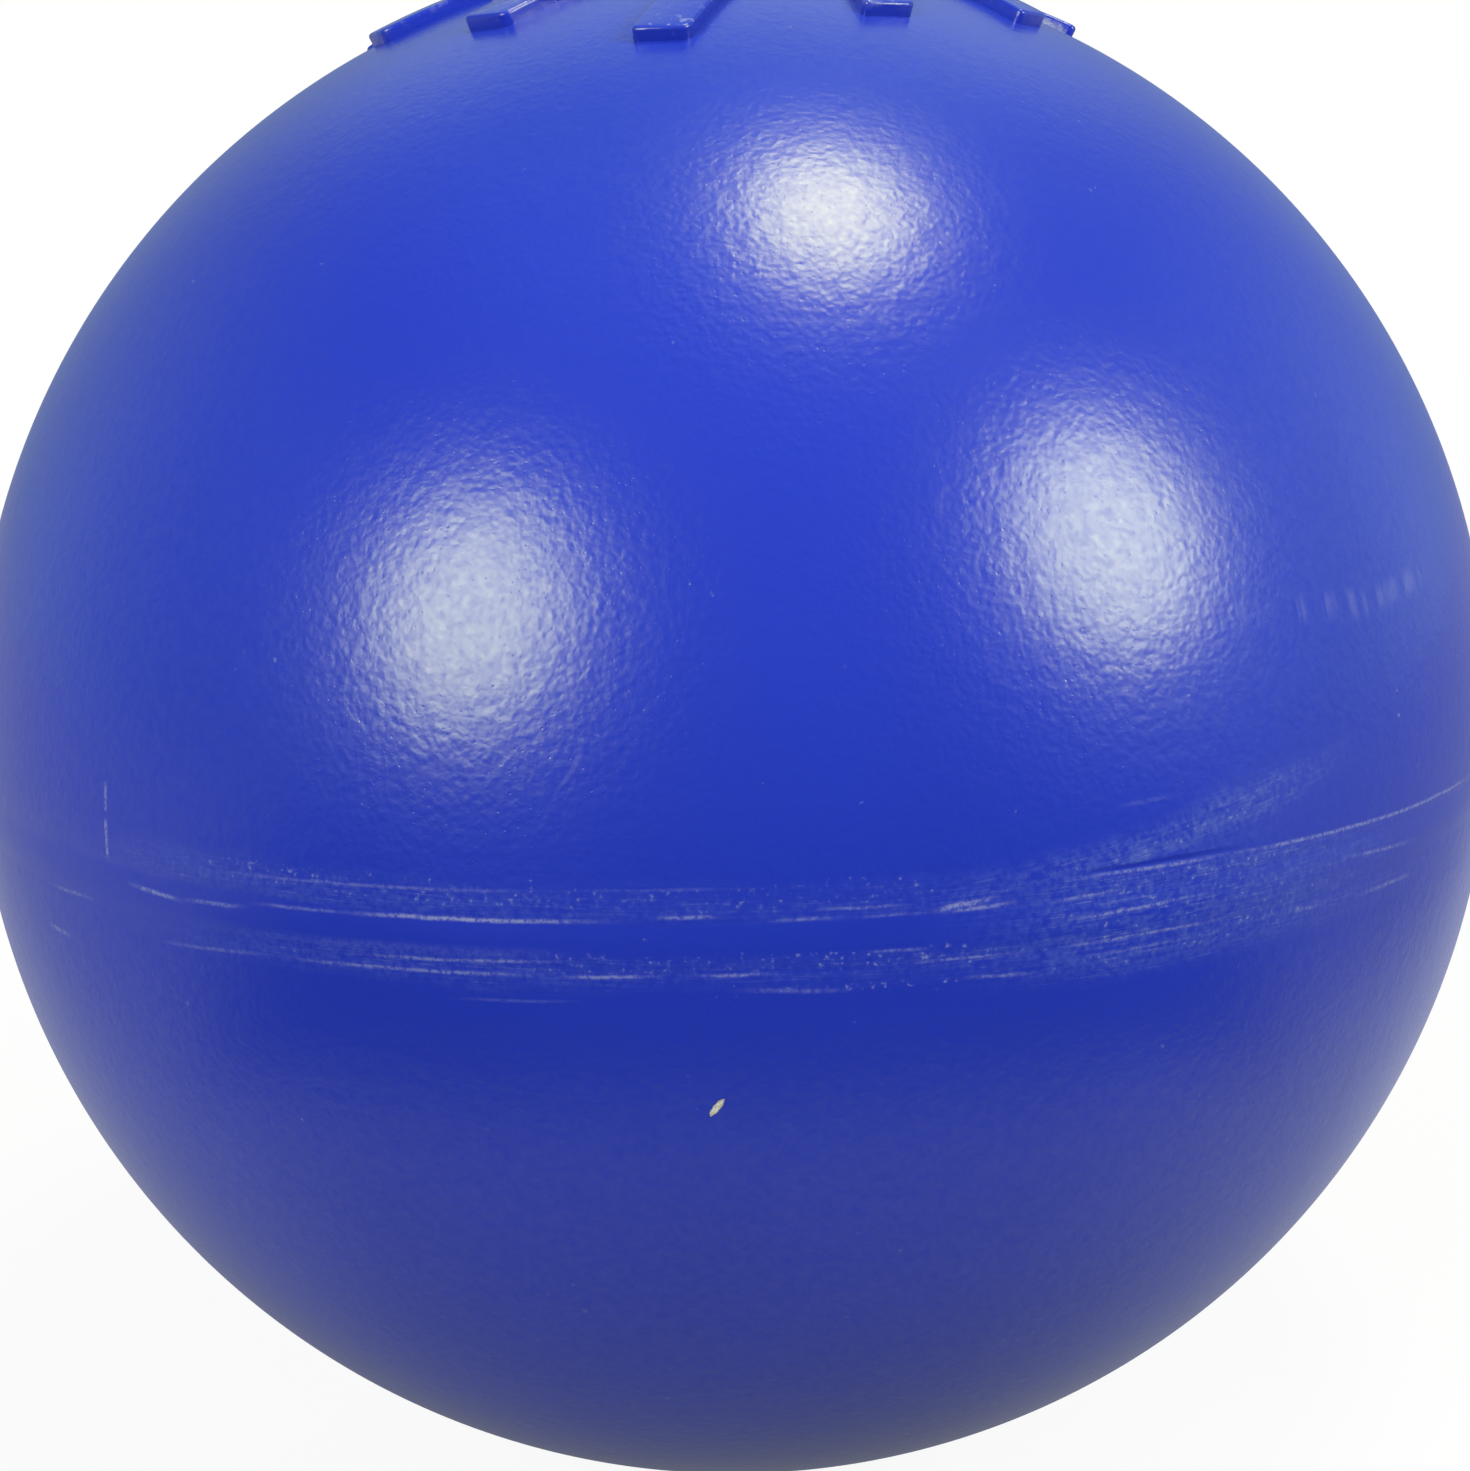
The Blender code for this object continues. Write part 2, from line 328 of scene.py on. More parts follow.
# the band that was scraped, in mm above the seam and degrees round the ball
# a soft step gives where it starts and ends, and what it goes from and to
scraped = {
    "top": 7.0,
    "stray": 1.3,                           # how far its edges wander
    "lowStray": 0.6,                        # and the share of that below
    "landEdge": (2.4, 3.8),
    "topEdge": (-2.0, 2.2),
    "topThin": (3.4, 5.4, 1.0, 0.35),
    "lowEdge": (-6.6, -3.4),
    "lowEnd": (-2.2, -0.5, 1.0, 0.0),
    "lowLeft": (-38, -24, 0.3, 1.0),
    "lowBack": (90, 160, 0.0, -0.7),
    "slip": (12, 40, 0.0, 9.0),             # where the scraper slipped, and how far it climbed
    "slipGone": (60, 170, 1.0, 0.0),
    "slipDrop": (40, 55, 1.0, 0.1),
    "slipLean": -0.72,                      # degrees for each mm, the slope of the slip's end
    "slipEnd": (23.5, 33.0, 1.0, 0.12),
    "backAgain": (80, 130, 0.0, 0.88),
    "onSlip": (5.2, 6.6),
    "rightStart": (8, 20),
    "rightEnd": (62, 80, 1.0, 0.0),
    "rightLow": (-8.8, -4.6),
    "rightTop": (-0.2, 0.5, 1.0, 0.0),
    "grooveOver": (0.25, 0.85, 0.25),       # above the long line, with its softness
    "grooveAlong": (20, 29, 2.5),
    # painted shade: how far the groove is darkened in colour
    "groovePaintedShade": 0.45,
    "drag": 45 * mm,                        # a mm of height counts as this much in a dragged noise
    "streakScale": 42,
    "hazeSteps": [(-46, -33, 0.07, 0.19), (-16, -4, 0.0, -0.08), (8, 22, 0.0, 0.16), (31, 49, 0.0, -0.20)],
    "hazeBack": (65, 100, 0.0, 0.10),
    "mottle": (0.28, 0.34, 0.38),           # shares of streaks, crumbs and cloud
    "haze": (0.38, 0.64, 0.0, 2.3),
    "slipHaze": 1.35,
}

knife = {
    "wanderScale": 160,
    "wander": 0.08,
    "edge": 1.65,                           # soft reach of a line, in half widths
    "endSoft": 3.5,
    "endShare": 0.22,
    "beadShares": (0.6, 0.4),               # of the crumb noise and the fine one
    "beads": (0.36, 0.60, 0.25, 1.0),
    "faintScale": 150,
    "faint": (0.54, 0.74),
    "faintShare": 0.9,
}

# knife lines along the seam: height (mm) and azimuth (degrees) of both ends, half width (mm), strength
longLine = (5.5, 28, 3.5, 60, 0.26, 0.40)
knifeLines = [
    (5.4, -33, 6.9, -10, 0.22, 0.20),
    (7.0, -10, 7.4, 2, 0.18, 0.10),
    (1.2, -40, 0.5, -34, 0.30, 0.50),
    (0.7, -35, 1.5, -29, 0.28, 0.36),
    (2.0, -30, 2.6, -21, 0.22, 0.28),
    (2.5, -24, 3.4, -6, 0.27, 0.62),
    (3.8, -5, 3.9, -0.4, 0.24, 0.36),
    (3.3, 1.2, 3.3, 6, 0.24, 0.26),
    (4.4, 3.5, 4.4, 10, 0.20, 0.24),
    (3.3, 6, 3.2, 11.5, 0.18, 0.20),
    (3.2, 10.4, 4.5, 14.6, 0.36, 0.62),
    (3.0, 10.8, 3.6, 16, 0.28, 0.40),
    (2.9, 17, 3.5, 23, 0.22, 0.30),
    (5.5, 17.5, 5.4, 31, 0.24, 0.38),
    longLine,
    (0.4, 17, 1.0, 29, 0.23, 0.42),
    (1.1, 38, -0.7, 49, 0.28, 0.30),
    (-2.9, -24, -1.7, -8, 0.22, 0.40),
    (-1.6, -28, -0.7, -7, 0.60, 0.07),
    (-5.9, -38, -4.4, -27, 0.26, 0.20),
    (-4.5, -28, -3.5, -9, 0.24, 0.36),
    (-3.8, -10.5, -3.4, -3.6, 0.23, 0.44),
    (-3.4, -3, -3.3, 2.6, 0.26, 0.36),
    (-2.9, 8, -2.9, 17, 0.20, 0.30),
    (-2.9, 16.5, -2.8, 31, 0.22, 0.34),
    (-1.1, 6.5, -1.2, 11, 0.22, 0.26),
    (-4.7, 19, -4.4, 28, 0.20, 0.22),
    (-5.4, 12, -5.8, 17, 0.26, 0.30),
    (-5.3, -1, -5.9, 7, 0.30, 0.20),
    (-5.0, 40.5, -5.4, 49, 0.30, 0.26),
    (-4.2, 34, -4.7, 38, 0.26, 0.24),
    (-7.3, -17, -6.8, -8, 0.20, 0.12),
    (-3.2, -50, -2.6, -42.5, 0.28, 0.26),
    (-9.7, -51, -9.8, -47, 0.34, 0.30),
    (13.6, 21.5, 14.0, 26, 0.30, 0.10),
    # round the back
    (3.4, 62, 2.7, 88, 0.25, 0.44),
    (-3.1, 70, -3.8, 97, 0.24, 0.36),
    (5.6, 81, 6.2, 104, 0.22, 0.24),
    (2.5, 92, 3.5, 128, 0.26, 0.50),
    (-2.7, 104, -2.2, 126, 0.22, 0.34),
    (-4.6, 118, -3.9, 151, 0.24, 0.38),
    (3.2, 131, 2.6, 170, 0.26, 0.46),
    (4.6, 150, 5.3, 176, 0.22, 0.28),
    (-3.4, -178, -3.0, -146, 0.24, 0.42),
    (2.9, -173, 3.4, -131, 0.26, 0.48),
    (-4.7, -152, -4.1, -120, 0.22, 0.30),
    (5.4, -139, 6.1, -112, 0.22, 0.26),
    (3.1, -125, 2.4, -90, 0.26, 0.46),
    (-2.9, -116, -3.6, -84, 0.24, 0.38),
    (2.2, -86, 2.9, -63, 0.24, 0.36),
]

# crumbs of whitened plastic
crumb = {
    "zones": [      # heights and azimuths, each with its softness, and how many
        ((-3.8, -0.4, 0.8), (-14, 16, 4.0), 0.78),
        ((4.0, 8.4, 1.4), (-34, 14, 5.0), 0.76),
        ((-6.6, -4.6, 0.8), (-4, 20, 4.0), 0.74),
    ],
    "inHaze": 2.6,
    "few": -0.30,
    "many": 0.10,
    "gather": (0.35, 0.65, -0.06, 0.06),    # along the streaks
    "edge": (0.59, 0.82),
    "strength": (0.35, 0.65, 0.18, 0.42),
}

# pale specks, their sizes in shares of the spacing
speck = {
    "spacing": 5.0 * mm,
    "radius": (0.04, 0.09),
    "core": 0.01,
    "ragged": 0.04,
    "picked": (0.40, 0.60),
    "strength": (0.04, 0.24),
}

# single marks, again in mm above the seam and degrees round the ball
marks = {
    "scratchAt": -41.6,
    "scratchHalf": (0.21, 0.04),
    "scratchWander": 0.08,
    "scratchSpan": (3.9, 13.6, 0.8),
    "breakAt": 9.6,
    "breakHalf": (0.3, 1.0),
    "scratchStrength": 0.46,
    "bowHalf": (0.26, 0.04),
    "bowSpan": (19.2, 23.2, 0.8),
    "bowLean": (19.0, 23.6, 9.55, 8.2),
    "bowMiddle": 21.3,
    "bowCurve": 0.03,
    "bowStrength": 0.08,
    "rubSpan": (32.6, 35.4, 1.1),
    "rubPlaces": (32, 54, 0.8),
    "rubsPerDegree": 0.95,
    "rubsPerMm": 0.04,
    "rubs": (0.46, 0.66, 0.0, 0.14),
    "rubFade": (0.3, 0.6, 0.4, 1.0),
    "fleckAt": (-1.4, -20.8),
    "fleckAlong": (0.62, 0.78),             # its direction, level and upright
    "fleckHalf": (1.50, 0.46),              # half length and half width, mm
    "fleckRagged": 0.3,
    "fleckEdge": (1.1, 0.6),
    # painted shade: a darker ring round the fleck
    "fleckPaintedShade": (2.6, 1.0, 0.0, 0.5),
    "fleckDrift": (0.40, 0.60),
    "perDegree": 2.18,                      # mm along the seam for each degree
    "scuffRise": (0.6 * mm, 1.9 * mm),
    "scuffShares": (0.6, 0.4),              # of the cloud noise and the patches
    "scuffBlotch": (0.52, 0.62),
    "scuffHeight": (113 * mm, 108 * mm),    # above the seam, from faint scuffs to strong
    "scuffStrength": (0.15, 0.6),
}


def spotOnBall(g):
    # where a point lies on the ball, and the noises that its finish is made of
    at = SimpleNamespace(place=g.where["Object"])
    at.x, at.y, at.z = g.parts(at.place)
    at.height = g.math("MULTIPLY_ADD", at.z, 1 / mm, -seamHeight / mm)              # mm above the seam
    at.azimuth = g.math("DEGREES", g.math("ARCTAN2", at.x, g.times(at.y, -1.0)))    # 0 at the front
    at.slow = g.grain(at.place, skin["slowScale"], 2.0)
    at.patches = g.grain(at.place, skin["patchScale"], 3.0, 0.6)
    at.cloud = g.grain(at.place, 1 / skin["cloudSize"], 3.0, 0.65)
    at.crumble = g.grain(at.place, 1 / skin["crumbSize"], 1.5)
    at.fine = g.grain(at.place, 1 / skin["fineSize"], 1.0)
    at.ragged = g.sway(at.patches, -scraped["stray"], scraped["stray"])
    at.slip = g.times(g.line(at.azimuth, *scraped["slip"]), g.ease(at.azimuth, *scraped["slipGone"]))
    at.onSlip = g.ease(at.height, *scraped["onSlip"])
    at.onRight = g.times(g.ease(at.azimuth, *scraped["rightStart"]), g.ease(at.azimuth, *scraped["rightEnd"]))
    return at


def dragged(g, at, scale, detail, roughness):
    # a noise drawn out along the seam, and along the slip above the long line on the right
    def along(height):
        return g.grain(g.join(at.x, at.y, g.times(height, scraped["drag"])), scale, detail, roughness)

    straight = along(at.height)
    climbing = along(g.minus(at.height, at.slip))
    return g.plus(g.times(straight, g.minus(1.0, at.onSlip)), g.times(climbing, at.onSlip))


def scrapedBand(g, at):
    # ragged on both sides of the seam, climbing on the right where the scraper slipped
    topEdge = g.plus(g.times(at.slip, g.ease(at.azimuth, *scraped["slipDrop"])), at.ragged, scraped["top"])
    inside = g.minus(topEdge, at.height)
    slipEnd = g.plus(at.azimuth, g.times(at.height, scraped["slipLean"]))
    fade = g.plus(g.ease(slipEnd, *scraped["slipEnd"]), g.ease(at.azimuth, *scraped["backAgain"]))
    upper = g.times(g.ease(inside, *scraped["topEdge"]), g.ease(at.height, *scraped["landEdge"]),
                    g.ease(inside, *scraped["topThin"]), fade)
    bottom = g.plus(at.height, g.times(at.ragged, scraped["lowStray"]))
    lower = g.times(g.ease(bottom, *scraped["lowEdge"]), g.ease(at.height, *scraped["lowEnd"]),
                    g.plus(g.ease(at.azimuth, *scraped["lowLeft"]), g.ease(at.azimuth, *scraped["lowBack"])))
    low, start, high, end = longLine[:4]
    overLine = g.minus(at.height, g.line(at.azimuth, start, end, low, high))
    right = g.times(at.onRight, g.ease(bottom, *scraped["rightLow"]), g.ease(overLine, *scraped["rightTop"]))
    at.groove = g.times(g.between(overLine, *scraped["grooveOver"]),
                        g.between(at.azimuth, *scraped["grooveAlong"]))
    at.band = g.math("SUBTRACT", g.most(upper, lower, right), at.groove, clamp=True)


def hazeFilm(g, at):
    # a pale film on the scraped band, stronger on some stretches than on others
    at.streaks = dragged(g, at, scraped["streakScale"], 3.0, 0.65)
    at.level = g.plus(*[g.ease(at.azimuth, *step) for step in scraped["hazeSteps"]],
                      g.ease(g.off(at.azimuth), *scraped["hazeBack"]))
    layers = zip((at.streaks, at.crumble, at.cloud), scraped["mottle"])
    mottle = g.plus(*[g.times(layer, share) for layer, share in layers])
    return g.times(at.band, at.level, g.ease(mottle, *scraped["haze"]),
                   g.line(g.times(at.onSlip, at.onRight), 0.0, 1.0, 1.0, scraped["slipHaze"]))


def knifeMarks(g, at):
    # lines soft at their ends and broken into beads, with fainter ones all over the band
    wanderNoise = g.grain(at.place, knife["wanderScale"], 2.0)
    wander = g.plus(at.height, g.sway(wanderNoise, -knife["wander"], knife["wander"]))
    coarse, fine = knife["beadShares"]
    at.beads = g.ease(g.plus(g.times(at.crumble, coarse), g.times(at.fine, fine)), *knife["beads"])
    lines = 0.0
    for low, start, high, end, width, strength in knifeLines:
        path = g.line(at.azimuth, start, end, low, high, clamp=False)
        soft = min(knife["endSoft"], knife["endShare"] * (end - start))
        stroke = g.ease(g.off(wander, path), width * knife["edge"], 0.0, 0.0, strength)
        lines = g.most(lines, g.times(stroke, g.between(at.azimuth, start + soft, end - soft, soft)))
    faintNoise = dragged(g, at, knife["faintScale"], 2.0, 0.7)
    faint = g.times(g.ease(faintNoise, *knife["faint"]), at.band, at.level, knife["faintShare"])
    return g.times(g.most(lines, faint), at.beads)


def crumbs(g, at):
    # bits of whitened plastic left by the scraper, gathered along its streaks
    zones = [g.times(g.between(at.height, *heights), g.between(at.azimuth, *places), share)
             for heights, places, share in crumb["zones"]]
    density = g.most(*zones, g.times(at.band, at.level, crumb["inHaze"]))
    gathered = g.plus(at.crumble, g.line(density, 0.0, 1.0, crumb["few"], crumb["many"]),
                      g.line(at.streaks, *crumb["gather"]))
    return g.times(g.ease(gathered, *crumb["edge"]), g.line(at.fine, *crumb["strength"]))


def specks(g, at):
    # sparse and pale, all over the ball
    distance, colour = g.cells(at.place, 1 / speck["spacing"])
    pick, size, tone = g.parts(colour)
    distance = g.plus(distance, g.sway(at.fine, -speck["ragged"], speck["ragged"]))
    spot = g.ease(distance, g.line(size, 0.0, 1.0, *speck["radius"]), speck["core"])
    return g.times(spot, g.ease(pick, *speck["picked"]), g.line(tone, 0.0, 1.0, *speck["strength"]))


def scratches(g, at):
    # an upright one on the left with a break in it, and a faint bowed one
    wander = g.sway(at.fine, -marks["scratchWander"], marks["scratchWander"])
    beside = g.off(g.plus(at.azimuth, wander), marks["scratchAt"])
    upright = g.times(g.ease(beside, *marks["scratchHalf"]), g.between(at.height, *marks["scratchSpan"]),
                      g.ease(g.off(at.height, marks["breakAt"]), *marks["breakHalf"]), at.beads,
                      marks["scratchStrength"])
    bend = g.times(g.square(g.minus(at.height, marks["bowMiddle"])), marks["bowCurve"])
    aside = g.off(g.plus(at.azimuth, g.line(at.height, *marks["bowLean"]), bend))
    bowed = g.times(g.ease(aside, *marks["bowHalf"]), g.between(at.height, *marks["bowSpan"]),
                    marks["bowStrength"])
    return g.most(upright, bowed)


def rubs(g, at):
    # a row of upright smudges high on the right
    across = g.times(at.azimuth, marks["rubsPerDegree"])
    smudges = g.grain(g.join(across, g.times(at.height, marks["rubsPerMm"]), 0.0), 1.0, 2.0)
    return g.times(g.between(g.plus(at.height, at.ragged), *marks["rubSpan"]),
                   g.between(at.azimuth, *marks["rubPlaces"]), g.ease(smudges, *marks["rubs"]),
                   g.line(at.cloud, *marks["rubFade"]))


def scuffs(g, at):
    # on the raised bars, most on their feet
    rise = g.minus(g.length(g.join(at.x, at.y, g.plus(at.z, -seamHeight))), shell["radius"])
    cloudy, patchy = marks["scuffShares"]
    blotches = g.ease(g.plus(g.times(at.cloud, cloudy), g.times(at.patches, patchy)), *marks["scuffBlotch"])
    faint, strong = marks["scuffHeight"]
    return g.times(g.ease(rise, *marks["scuffRise"]), blotches,
                   g.ease(at.z, seamHeight + faint, seamHeight + strong, *marks["scuffStrength"]))


def fleckSpan(g, at):
    # a straw-coloured fleck below the seam: 0 at its middle, 1 at its edge
    azimuth, height = marks["fleckAt"]
    level, upright = marks["fleckAlong"]
    halfLong, halfWide = marks["fleckHalf"]
    x = g.times(g.minus(at.azimuth, azimuth), marks["perDegree"])
    y = g.minus(at.height, height)
    along = g.plus(g.times(x, level / halfLong), g.times(y, upright / halfLong))
    across = g.plus(g.times(x, -upright / halfWide), g.times(y, level / halfWide))
    ragged = g.sway(at.fine, -marks["fleckRagged"], marks["fleckRagged"])
    return g.plus(g.square(along), g.square(across), ragged)


def peelRelief(g, at):
    # orange peel with pinholes, smoothed on the skived land and grooved above the long line
    onLand = g.ease(g.off(at.height), *scraped["landEdge"], 1.0, 0.0)
    peel = g.grain(at.place, 1 / skin["peelSize"], 0.7, 0.5, 0.15)
    wave = g.grain(at.place, 1 / skin["waveSize"], 1.0)
    distance, colour = g.cells(at.place, 1 / skin["pitSize"])
    depth = g.line(g.parts(colour)[0], *skin["pitPick"], 0.0, skin["pitDepth"])
    pits = g.times(g.ease(distance, *skin["pitEdge"]), depth)
    relief = g.plus(g.times(peel, skin["peelHeight"]), g.times(wave, skin["waveHeight"]), g.times(pits, -1.0))
    return g.plus(g.times(relief, g.line(onLand, 0.0, 1.0, 1.0, skin["landRelief"])),
                  g.times(at.groove, -skin["grooveDepth"]))


def ballSkin():
    material = bpy.data.materials.new("ballSkin")
    g = Graph(material)
    at = spotOnBall(g)
    scrapedBand(g, at)
    haze = hazeFilm(g, at)
    wear = g.most(*[mark(g, at) for mark in (knifeMarks, crumbs, specks, scratches, rubs, scuffs)])
    fleck = fleckSpan(g, at)
    straw = g.blend(g.ease(at.fine, *marks["fleckDrift"]), skin["straw"], skin["paleStraw"])

    colour = g.blend(g.ease(at.slow, *skin["blueDrift"]), skin["blue"], skin["deepBlue"])
    colour = g.blend(haze, colour, skin["hazeBlue"])
    # painted shade: the groove above the long line darkened in colour
    colour = g.blend(g.times(at.groove, scraped["groovePaintedShade"]), colour, skin["paintedShadeBlue"])
    colour = g.blend(wear, colour, skin["whitened"])
    # painted shade: a darker ring round the fleck
    colour = g.blend(g.ease(fleck, *marks["fleckPaintedShade"]), colour, skin["paintedShadeBlue"])
    colour = g.blend(g.ease(fleck, *marks["fleckEdge"]), colour, straw)

    rough = g.plus(g.ease(at.slow, *skin["roughDrift"]), g.ease(wear, *skin["wornRougher"]),
                   skin["roughness"])
    gloss = g.plus(g.sway(at.crumble, *skin["crumbGloss"]), g.sway(at.cloud, *skin["cloudGloss"]))
    g.set({"Base Color": colour, "Roughness": rough, "Normal": g.bump(peelRelief(g, at)), "IOR": skin["ior"],
           "Specular IOR Level": gloss, "Specular Tint": skin["shineTint"]})
    return material


# the plug's own moulding: plainer, with a finer grain and rubbed high spots
plugFinish = {
    "blue": rgb(0.022, 0.046, 0.50),
    "deepBlue": rgb(0.018, 0.038, 0.42),
    "shineTint": rgb(1.0, 0.96, 0.34),
    "blueDrift": (0.3, 0.7),
    "roughness": (0.30, 0.42),
    "rubbed": 0.30,
    "rubbedEdge": (0.56, 0.72),
    "rubbedPlaces": (0.42, 0.62),
    "rubbedRougher": 0.3,
    "slowScale": 60,
    "turningScale": 300,
    "turned": (1.0, 1.0, 8.0),      # drawn out round the axis
    "grainSize": 0.7 * mm,
    "grainHeight": 0.03 * mm,
}


def plugSkin():
    material = bpy.data.materials.new("plugSkin")
    g = Graph(material)
    place = g.where["Object"]
    slow = g.grain(place, plugFinish["slowScale"], 2.0)
    fine = g.grain(place, 1 / plugFinish["grainSize"], 3.0, 0.55)
    turning = g.grain(g.stretch(place, plugFinish["turned"]), plugFinish["turningScale"], 2.0)
    rubbed = g.times(g.ease(turning, *plugFinish["rubbedEdge"]), g.ease(slow, *plugFinish["rubbedPlaces"]),
                     plugFinish["rubbed"])
    colour = g.blend(g.ease(slow, *plugFinish["blueDrift"]), plugFinish["blue"], plugFinish["deepBlue"])
    colour = g.blend(rubbed, colour, skin["whitened"])
    rough = g.plus(g.sway(slow, *plugFinish["roughness"]), g.times(rubbed, plugFinish["rubbedRougher"]))
    g.set({"Base Color": colour, "Roughness": rough, "Specular Tint": plugFinish["shineTint"],
           "Normal": g.bump(g.times(fine, plugFinish["grainHeight"]))})
    return material


# black glass-filled nylon: matt, with pale fibres near the surface
nylon = {
    "black": rgb(0.014, 0.014, 0.016),
    "fibre": rgb(0.09, 0.09, 0.095),
    "fibreShare": 0.35,
    "fibreEdge": (0.60, 0.74),
    "fibreScale": 500,
    "drawnOut": (1.0, 6.0, 6.0),
    "slowScale": 120,
    "roughness": (0.42, 0.60),
    "grainSize": 0.4 * mm,
    "grainHeight": 0.025 * mm,
}


def insertNylon():
    material = bpy.data.materials.new("insertNylon")
    g = Graph(material)
    place = g.where["Object"]
    strands = g.grain(g.stretch(place, nylon["drawnOut"]), nylon["fibreScale"], 2.0, 0.6)
    fibres = g.times(g.ease(strands, *nylon["fibreEdge"]), nylon["fibreShare"])
    slow = g.grain(place, nylon["slowScale"], 2.0)
    fine = g.grain(place, 1 / nylon["grainSize"], 2.0)
    g.set({"Base Color": g.blend(fibres, nylon["black"], nylon["fibre"]),
           "Roughness": g.sway(slow, *nylon["roughness"]),
           "Normal": g.bump(g.times(fine, nylon["grainHeight"]))})
    return material


# nitrile rubber with a grey bloom
rubber = {
    "black": rgb(0.010, 0.010, 0.010),
    "bloom": rgb(0.055, 0.055, 0.058),
    "bloomMost": 0.5,
    "bloomEdge": (0.45, 0.70),
    "bloomScale": 260,
    "roughness": (0.46, 0.68),
    "grainSize": 0.3 * mm,
    "grainHeight": 0.012 * mm,
}


def sealRubber():
    material = bpy.data.materials.new("sealRubber")
    g = Graph(material)
    place = g.where["Object"]
    cloud = g.grain(place, rubber["bloomScale"], 3.0, 0.6)
    bloom = g.ease(cloud, *rubber["bloomEdge"], 0.0, rubber["bloomMost"])
    fine = g.grain(place, 1 / rubber["grainSize"], 2.0)
    g.set({"Base Color": g.blend(bloom, rubber["black"], rubber["bloom"]),
           "Roughness": g.line(bloom, 0.0, rubber["bloomMost"], *rubber["roughness"]),
           "Normal": g.bump(g.times(fine, rubber["grainHeight"]))})
    return material


skinMaterial = ballSkin()
print("materials ready")


# half shells

innerRadius = shell["radius"] - shell["wall"]


def rimAngle(radius, height):
    return math.degrees(math.acos(height / radius))


def lifted(points, centre=seamHeight):
    return [(r, z + centre) for r, z in points]


treads = {
    "count": 12,
    "longEvery": 4,
    "headArc": 42 * mm,
    "footArc": 59 * mm,
    "longExtra": 7.5 * mm,
    "width": 7.5 * mm,
    "relief": 2 * mm,
    "root": 2 * mm,
    "slant": 20.0,
    "firstAzimuth": 1.0,
    "cornerRound": 1.1 * mm,
    "topRound": 0.55 * mm,
    "lengths": 8,            # pieces along a bar, so that it follows the ball
}


def treadBar(azimuth, length):
    # a block with rounded corners, laid over the ball with its ends on parallels
    slant = math.radians(treads["slant"])
    depth = treads["relief"] + treads["root"]
    bm = bmesh.new()
    bmesh.ops.create_cube(bm, size=1)
    bmesh.ops.scale(bm, vec=(treads["width"] / math.cos(slant), length, depth), verts=bm.verts)
    upright = [e for e in bm.edges if abs(e.verts[0].co.z - e.verts[1].co.z) > depth / 2]
    softenEdges(bm, upright, treads["cornerRound"], 4)
    topRim = [e for e in bm.edges if min(v.co.z for v in e.verts) > depth / 2 - hair]
    softenEdges(bm, topRim, treads["topRound"], 3)
    for cut in range(1, treads["lengths"]):
        bmesh.ops.bisect_plane(bm, geom=bm.verts[:] + bm.edges[:] + bm.faces[:], dist=0.0001 * mm,
                               plane_co=(0, length * (cut / treads["lengths"] - 0.5), 0), plane_no=(0, 1, 0))
    for vert in bm.verts:
        run = length / 2 - vert.co.y
        tilt = (treads["headArc"] + run) / shell["radius"]
        sideways = vert.co.x - run * math.tan(slant)
        turn = azimuth + sideways / (shell["radius"] * math.sin(tilt))
        reach = shell["radius"] + treads["relief"] - (depth / 2 - vert.co.z)
        vert.co = (reach * math.sin(tilt) * math.sin(turn), -reach * math.sin(tilt) * math.cos(turn),
                   reach * math.cos(tilt) + seamHeight)
    bmesh.ops.recalc_face_normals(bm, faces=bm.faces)
    return bm


def treadRing():
    ring = bmesh.new()
    for index in range(treads["count"]):
        azimuth = math.radians(treads["firstAzimuth"]) + math.tau * index / treads["count"]
        extra = treads["longExtra"] if index % treads["longEvery"] == 0 else 0
        bar = treadBar(azimuth, treads["footArc"] + extra - treads["headArc"])
        part = bpy.data.meshes.new("bar")
        bar.to_mesh(part)
        bar.free()
        ring.from_mesh(part)
        bpy.data.meshes.remove(part)
    return toObject(ring, "treadRing")


def upperShell():
    rim = rimAngle(shell["radius"], shell["rimGap"])
    outer = arcPoints(shell["radius"], 0, rim, shell["outerRings"])
    ridge = [(shell["radius"] - shell["wall"] / 2, shell["ridge"])]
    inner = arcPoints(innerRadius, rimAngle(innerRadius, shell["rimInside"]), 0, shell["innerRings"])
    piece = toObject(lathe(lifted(outer + ridge + inner), shell["steps"]), "upperShell")
    carve(piece, treadRing(), "UNION")
    dress(piece, skinMaterial, "upper_shell", "ball")


filler = {
    "face": insertLow.z,                 # height of the insert's mouth
    "top": insertHigh.z,                 # inner end of insert and boss
    "landing": 25.2 * mm,
    "recess": 20.2 * mm,
    "chamfer": 0.6 * mm,
    "boss": 27.48 * mm,
    "bossFillet": 4 * mm,
    "filletSteps": 6,
    "pocket": 17.9 * mm,
    "insert": 17.6 * mm,
    "flange": 22.63 * mm,                # corner radius of the hexagon
    "corner": 1.155,                     # a hexagon's corner over its flat
    "flangeLow": 6 * mm,
    "flangeHigh": 10 * mm,
    "gap": 0.3 * mm,
    "bore": 13.3 * mm,
    "gland": 15.6 * mm,
    "glandDepth": 2.9 * mm,
    "edge": 0.15 * mm,                   # softened edges of insert and plug
    "over": 1 * mm,                      # cutters reach past what they cut
    "steps": 96,
}


def hexPrism(radius, low, high):
    bm = bmesh.new()
    bmesh.ops.create_cone(bm, cap_ends=True, segments=6, radius1=radius, radius2=radius, depth=high - low)
    bmesh.ops.translate(bm, vec=(0, 0, (low + high) / 2), verts=bm.verts)
    return toObject(bm, "hexPrism")


def rod(radius, low, high):
    return toObject(lathe([(0, high), (radius, high), (radius, low), (0, low)], filler["steps"]), "rod")


